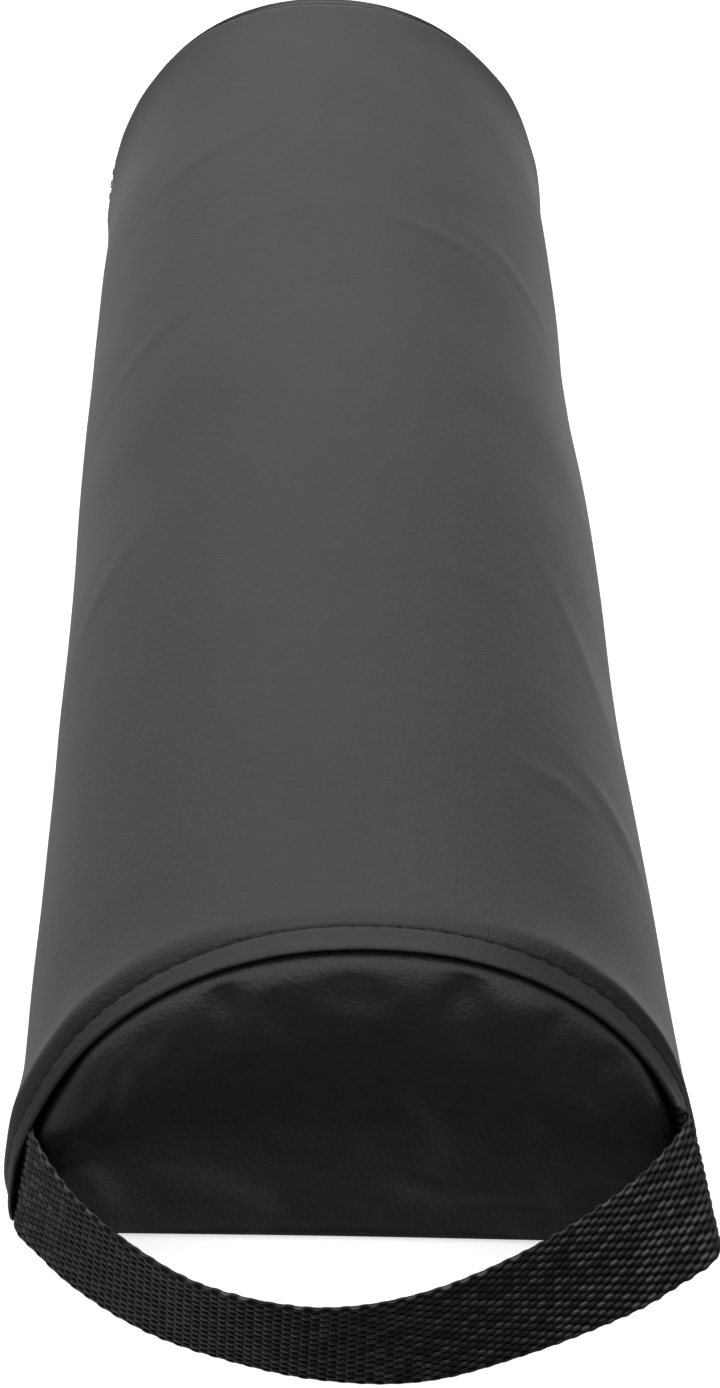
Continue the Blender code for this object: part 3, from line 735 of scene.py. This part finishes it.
def webbing_material():
    """Black polypropylene webbing: glossy yarns, each a little different, with painted shade that darkens
    the pits between them and dulls their gloss.
    """
    mat, tree, shader = new_material("webbing")
    wires = tree.links
    place = add_node(tree, "ShaderNodeTexCoord")
    relief = add_node(tree, "ShaderNodeAttribute", attribute_name="relief")
    luck = add_node(tree, "ShaderNodeAttribute", attribute_name="luck")
    fibre = add_node(tree, "ShaderNodeTexNoise", {"Scale": 1600.0, "Detail": 3.0, "Roughness": 0.6})
    wires.new(place.outputs["Object"], fibre.inputs["Vector"])
    bump = add_node(tree, "ShaderNodeBump", {"Strength": 0.6, "Distance": 0.00018})
    wires.new(fibre.outputs["Fac"], bump.inputs["Height"])
    wires.new(bump.outputs["Normal"], shader.inputs["Normal"])
    # Painted shade: by the relief's height the pits get a darker base colour and less gloss than the tops
    # of the yarns
    lit = add_node(tree, "ShaderNodeMapRange", {"From Min": -0.08, "From Max": 0.90})
    wires.new(relief.outputs["Fac"], lit.inputs["Value"])
    tint = add_node(tree, "ShaderNodeValToRGB")
    tint.color_ramp.elements[0].color = (0.0025, 0.0025, 0.0025, 1)
    tint.color_ramp.elements[1].color = (0.0080, 0.0080, 0.0080, 1)
    wires.new(lit.outputs["Result"], tint.inputs["Fac"])
    wires.new(tint.outputs["Color"], shader.inputs["Base Color"])
    # Each float's gloss differs at random by its luck, and is then cut down in the pits by the painted
    # shade
    glint = add_node(tree, "ShaderNodeMapRange", {"From Min": 0.2, "To Min": 0.40, "To Max": 0.88})
    wires.new(luck.outputs["Fac"], glint.inputs["Value"])
    gloss = add_node(tree, "ShaderNodeMath", operation="MULTIPLY")
    wires.new(glint.outputs["Result"], gloss.inputs[0])
    wires.new(lit.outputs["Result"], gloss.inputs[1])
    wires.new(gloss.outputs["Value"], shader.inputs["Specular IOR Level"])
    shader.inputs["Roughness"].default_value = 0.28
    return mat


def thread_material():
    """Black bonded sewing thread with a faint twist."""
    mat, tree, shader = new_material("thread")
    wires = tree.links
    place = add_node(tree, "ShaderNodeTexCoord")
    twist = add_node(tree, "ShaderNodeTexNoise", {"Scale": 2600.0, "Detail": 2.0})
    wires.new(place.outputs["Object"], twist.inputs["Vector"])
    bump = add_node(tree, "ShaderNodeBump", {"Strength": 0.6, "Distance": 0.0001})
    wires.new(twist.outputs["Fac"], bump.inputs["Height"])
    wires.new(bump.outputs["Normal"], shader.inputs["Normal"])
    shader.inputs["Base Color"].default_value = (0.006, 0.006, 0.006, 1)
    shader.inputs["Roughness"].default_value = 0.5
    return mat


def tape_material():
    """Woven zip tape: fine ribs along the zip."""
    mat, tree, shader = new_material("zip_tape")
    wires = tree.links
    place = add_node(tree, "ShaderNodeTexCoord")
    ribs = add_node(tree, "ShaderNodeTexWave", {"Scale": 420.0, "Distortion": 0.6}, bands_direction="X")
    picks = add_node(tree, "ShaderNodeTexWave", {"Scale": 300.0, "Distortion": 0.8}, bands_direction="Y")
    both = add_node(tree, "ShaderNodeMath", operation="MULTIPLY")
    bump = add_node(tree, "ShaderNodeBump", {"Strength": 0.8, "Distance": 0.0002})
    tint = add_node(tree, "ShaderNodeValToRGB")
    tint.color_ramp.elements[0].color = (0.006, 0.006, 0.006, 1)
    tint.color_ramp.elements[1].color = (0.020, 0.020, 0.020, 1)
    for texture in (ribs, picks):
        wires.new(place.outputs["Object"], texture.inputs["Vector"])
    wires.new(ribs.outputs["Fac"], both.inputs[0])
    wires.new(picks.outputs["Fac"], both.inputs[1])
    wires.new(both.outputs["Value"], bump.inputs["Height"])
    wires.new(both.outputs["Value"], tint.inputs["Fac"])
    wires.new(bump.outputs["Normal"], shader.inputs["Normal"])
    wires.new(tint.outputs["Color"], shader.inputs["Base Color"])
    shader.inputs["Roughness"].default_value = 0.75
    return mat


def nylon_material():
    """Black nylon of the zip's coils."""
    mat, tree, shader = new_material("zip_coil")
    place = add_node(tree, "ShaderNodeTexCoord")
    grain = add_node(tree, "ShaderNodeTexNoise", {"Scale": 3000.0, "Detail": 2.0})
    rough = add_node(tree, "ShaderNodeMapRange", {"To Min": 0.28, "To Max": 0.42})
    tree.links.new(place.outputs["Object"], grain.inputs["Vector"])
    tree.links.new(grain.outputs["Fac"], rough.inputs["Value"])
    tree.links.new(rough.outputs["Result"], shader.inputs["Roughness"])
    shader.inputs["Base Color"].default_value = (0.010, 0.010, 0.010, 1)
    return mat


def painted_metal_material():
    """Black enamel on die-cast zinc, with the paint a little uneven and thin in random patches."""
    mat, tree, shader = new_material("zip_metal")
    wires = tree.links
    place = add_node(tree, "ShaderNodeTexCoord")
    grain = add_node(tree, "ShaderNodeTexNoise", {"Scale": 1800.0, "Detail": 3.0})
    wear = add_node(tree, "ShaderNodeTexNoise", {"Scale": 420.0, "Detail": 4.0})
    bump = add_node(tree, "ShaderNodeBump", {"Strength": 0.25, "Distance": 0.0001})
    tint = add_node(tree, "ShaderNodeValToRGB")
    rough = add_node(tree, "ShaderNodeMapRange", {"To Min": 0.26, "To Max": 0.44})
    tint.color_ramp.elements[0].position = 0.60
    tint.color_ramp.elements[0].color = (0.012, 0.012, 0.013, 1)
    tint.color_ramp.elements[1].position = 0.80
    tint.color_ramp.elements[1].color = (0.045, 0.045, 0.048, 1)
    wires.new(place.outputs["Object"], grain.inputs["Vector"])
    wires.new(place.outputs["Object"], wear.inputs["Vector"])
    wires.new(grain.outputs["Fac"], bump.inputs["Height"])
    wires.new(wear.outputs["Fac"], tint.inputs["Fac"])
    wires.new(wear.outputs["Fac"], rough.inputs["Value"])
    wires.new(bump.outputs["Normal"], shader.inputs["Normal"])
    wires.new(tint.outputs["Color"], shader.inputs["Base Color"])
    wires.new(rough.outputs["Result"], shader.inputs["Roughness"])
    shader.inputs["Metallic"].default_value = 0.35
    return mat


# Zip in the base

COIL_PITCH = 0.0014
COIL_WIRE = 0.00030        # radius of the nylon wire
COIL_STEPS = 12            # points per turn
ZIP_STITCH_PITCH = 0.0040
ZIP_STITCH_LENGTH = 0.0029
ZIP_STITCH_GAP = 0.001     # the row starts and ends this far inside the tape's stitch line
ZIP_STITCH_POINTS = 60


def build_coil(name, node, mat):
    """One chain of the zip: a flattened helix of nylon wire."""
    low, high = (Vector(corner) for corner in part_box(node))
    middle = (low + high) / 2
    wide, tall = (high.x - low.x) / 2 - COIL_WIRE, (high.z - low.z) / 2 - COIL_WIRE
    turns = int((high.y - low.y - 2 * COIL_WIRE) / COIL_PITCH)
    curve = bpy.data.curves.new(name, "CURVE")
    curve.dimensions = "3D"
    curve.bevel_depth = COIL_WIRE
    curve.bevel_resolution = 1
    curve.use_fill_caps = True
    count = turns * COIL_STEPS + 1
    spline = curve.splines.new("POLY")
    spline.points.add(count - 1)
    hand = 1 if middle.x > ZIP_X else -1
    for number, point in enumerate(spline.points):
        turn = 2 * math.pi * number / COIL_STEPS
        y = middle.y + (number / COIL_STEPS - turns / 2) * COIL_PITCH
        x = middle.x + hand * wide * math.cos(turn)
        point.co = (x, y, middle.z + tall * math.sin(turn), 1.0)
    curve.materials.append(mat)
    coil = bpy.data.objects.new(name, curve)
    bpy.context.scene.collection.objects.link(coil)
    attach(coil, "root")
    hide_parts(node)


def build_zip_stitches(name, node, mat):
    """The row of stitches that holds one zip tape to the cover."""
    low, high = (np.array(corner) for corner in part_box(node))
    middle = (low + high) / 2
    ys = np.linspace(low[1] + ZIP_STITCH_GAP, high[1] - ZIP_STITCH_GAP, ZIP_STITCH_POINTS)
    path = np.stack([ys * 0 + middle[0], ys, ys * 0 + middle[2]], axis=1)
    ups = np.tile([0.0, 0.0, -1.0], (ZIP_STITCH_POINTS, 1))
    radius = (high[2] - low[2]) / 2
    stitch_row(name, path, ups, ZIP_STITCH_PITCH, ZIP_STITCH_LENGTH, mat, node, radius, radius)


# Stage

CAMERA_PITCH = math.radians(35.69)
CAMERA_YAW = math.radians(3.56)
CAMERA_ROLL = math.radians(3.68)
CAMERA_SPOT = (-0.0466, -0.612, 0.6393)     # x, y from the front lip, z
CAMERA_LENS = 76.33
# Each light of the studio: the way to its middle, the cosines where it starts and is full, strength
STUDIO_LIGHTS = (
    ((-0.18, 0, 0.98), 0.20, 0.90, 1.34),         # overhead softbox, a little to the left
    ((0, 1, 0), 0.40, 0.90, 0.64),                # pale sweep behind
    ((0.30, -0.72, 0.62), 0.74, 0.97, 0.34),      # softbox high in front, a little to the right
    ((-0.60, -0.10, -0.79), 0.75, 0.98, 0.42),    # floor to the left
    ((0.22, 0.74, -0.63), 0.88, 0.99, 0.32),      # floor behind
    ((-0.95, 0.25, 0.15), 0.88, 0.98, 0.60),      # white card on the left
    ((0.98, 0.08, 0.12), 0.82, 0.97, 0.46),       # white card on the right
)
ROOM_DIM = 0.13
ROOM_TINT = (0.965, 0.98, 1.0, 1.0)
SENSOR_HEIGHT = 36.0
FLOOR_HALF = 8.0
FLOOR_DROP = 0.0006        # the floor lies this far under the base
FLOOR_GLOW = 0.65          # the floor glows, so that it looks pale


def build_camera():
    """The camera, at the photograph's angle."""
    data = bpy.data.cameras.new("camera")
    data.sensor_fit = "VERTICAL"
    data.sensor_height = SENSOR_HEIGHT
    data.lens = CAMERA_LENS
    camera = bpy.data.objects.new("camera", data)
    bpy.context.scene.collection.objects.link(camera)
    level = math.cos(CAMERA_PITCH)
    ahead = Vector((math.sin(CAMERA_YAW) * level, math.cos(CAMERA_YAW) * level, -math.sin(CAMERA_PITCH)))
    right = Vector((math.cos(CAMERA_YAW), -math.sin(CAMERA_YAW), 0.0))
    up = right.cross(ahead)
    tilt, lean = math.cos(CAMERA_ROLL), math.sin(CAMERA_ROLL)
    right, up = right * tilt + up * lean, up * tilt - right * lean
    turn = Matrix((right, up, -ahead)).transposed().to_4x4()
    x, y, z = CAMERA_SPOT
    camera.matrix_world = Matrix.Translation((x, y - HALF_LENGTH, z)) @ turn
    bpy.context.scene.camera = camera


def build_floor():
    """A plain pale floor."""
    mesh = bpy.data.meshes.new("floor")
    corners = [(-1, -1), (1, -1), (1, 1), (-1, 1)]
    points = [(x * FLOOR_HALF, y * FLOOR_HALF, -FLOOR_DROP) for x, y in corners]
    mesh.from_pydata(points, [], [(0, 1, 2, 3)])
    mat, tree, shader = new_material("floor")
    shader.inputs["Base Color"].default_value = (0.90, 0.90, 0.90, 1)
    shader.inputs["Emission Color"].default_value = (1, 1, 1, 1)
    shader.inputs["Emission Strength"].default_value = FLOOR_GLOW
    shader.inputs["Roughness"].default_value = 0.9
    shader.inputs["Specular IOR Level"].default_value = 0.1
    mesh.materials.append(mat)
    floor = bpy.data.objects.new("floor", mesh)
    bpy.context.scene.collection.objects.link(floor)
    floor.visible_glossy = False
    floor.visible_diffuse = False


def build_lights():
    """A soft studio: the lights of STUDIO_LIGHTS over a dim room, all in the world's background."""
    world = bpy.data.worlds.new("studio")
    bpy.context.scene.world = world
    world.use_nodes = True
    tree = world.node_tree
    back = tree.nodes["Background"]
    way = add_node(tree, "ShaderNodeTexCoord")
    total = None
    for middle, start, full, strength in STUDIO_LIGHTS:
        cosine = add_node(tree, "ShaderNodeVectorMath", {1: middle}, operation="DOT_PRODUCT")
        ramp = add_node(tree, "ShaderNodeMapRange", {
            "From Min": start, "From Max": full, "To Min": 0.0, "To Max": strength},
            interpolation_type="SMOOTHSTEP")
        both = add_node(tree, "ShaderNodeMath", {1: ROOM_DIM}, operation="ADD")
        tree.links.new(way.outputs["Generated"], cosine.inputs[0])
        tree.links.new(cosine.outputs["Value"], ramp.inputs["Value"])
        tree.links.new(ramp.outputs["Result"], both.inputs[0])
        if total:
            tree.links.new(total.outputs["Value"], both.inputs[1])
        total = both
    tree.links.new(total.outputs["Value"], back.inputs["Strength"])
    back.inputs["Color"].default_value = ROOM_TINT


def dress_cad(materials):
    """Gives the CAD nodes that stay their finished materials."""
    for name, node in frame["nodes"].items():
        slot = next(row["material_slot"] for row in frame["record"]["subparts"] if row["node"] == name)
        mat = materials.get(slot)
        if mat:
            for place in node.material_slots:
                place.material = mat


def build_foam():
    """The firm foam core, which fills the cover and is seen by nobody."""
    mat, tree, shader = new_material("foam")
    place = add_node(tree, "ShaderNodeTexCoord")
    cells = add_node(tree, "ShaderNodeTexVoronoi", {"Scale": 700.0})
    tint = add_node(tree, "ShaderNodeValToRGB")
    bump = add_node(tree, "ShaderNodeBump", {"Strength": 0.6, "Distance": 0.0005})
    tint.color_ramp.elements[0].color = (0.45, 0.43, 0.38, 1)
    tint.color_ramp.elements[1].color = (0.66, 0.64, 0.58, 1)
    tree.links.new(place.outputs["Object"], cells.inputs["Vector"])
    tree.links.new(cells.outputs["Distance"], tint.inputs["Fac"])
    tree.links.new(cells.outputs["Distance"], bump.inputs["Height"])
    tree.links.new(tint.outputs["Color"], shader.inputs["Base Color"])
    tree.links.new(bump.outputs["Normal"], shader.inputs["Normal"])
    shader.inputs["Roughness"].default_value = 0.9
    ring = OUTLINE[::4] - OUTWARD[::4] * FOAM_INSET
    ring[:, 1] = np.maximum(ring[:, 1], FOAM_INSET)
    rings = []
    for y, scale in ((-1, 0.97), (-0.99, 1.0), (0, 1.0), (0.99, 1.0), (1, 0.97)):
        half = np.full(len(ring), y * (HALF_LENGTH - FOAM_END_GAP))
        rings.append(np.stack([ring[:, 0] * scale, half, ring[:, 1] * scale + 0.001], axis=1))
    faces = [tuple(face) for face in grid_faces(len(rings), len(ring), close_columns=True)]
    faces.append(tuple(reversed(range(len(ring)))))
    faces.append(tuple(range((len(rings) - 1) * len(ring), len(rings) * len(ring))))
    foam = link("foam", make_mesh("foam", np.array(rings), faces, flip=True), mat)
    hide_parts("foam_core")


def main():
    """Builds the whole scene."""
    bpy.context.scene.view_settings.view_transform = "Standard"
    leather = leather_material()
    webbing = webbing_material()
    thread = thread_material()
    nylon = nylon_material()
    dress_cad({"leathercloth": leather, "webbing": webbing, "thread": thread, "zip_coil": nylon,
               "zip_tape": tape_material(), "zip_metal": painted_metal_material()})
    build_camera()
    build_floor()
    build_lights()
    build_foam()
    build_cover(leather)
    build_panel("front_panel", -1, leather, "front_end_panel", FRONT_PUCKERS)
    build_panel("rear_panel", 1, leather, "rear_end_panel", REAR_PUCKERS)
    build_topstitch("front_stitches", -1, thread, "front_topstitch")
    build_topstitch("rear_stitches", 1, thread, "rear_topstitch")
    build_strap(webbing)
    for side in ("left", "right"):
        build_coil(f"coil_{side}", f"zip_coil_{side}", nylon)
        build_zip_stitches(f"tape_stitches_{side}", f"zip_stitch_{side}", thread)


main()
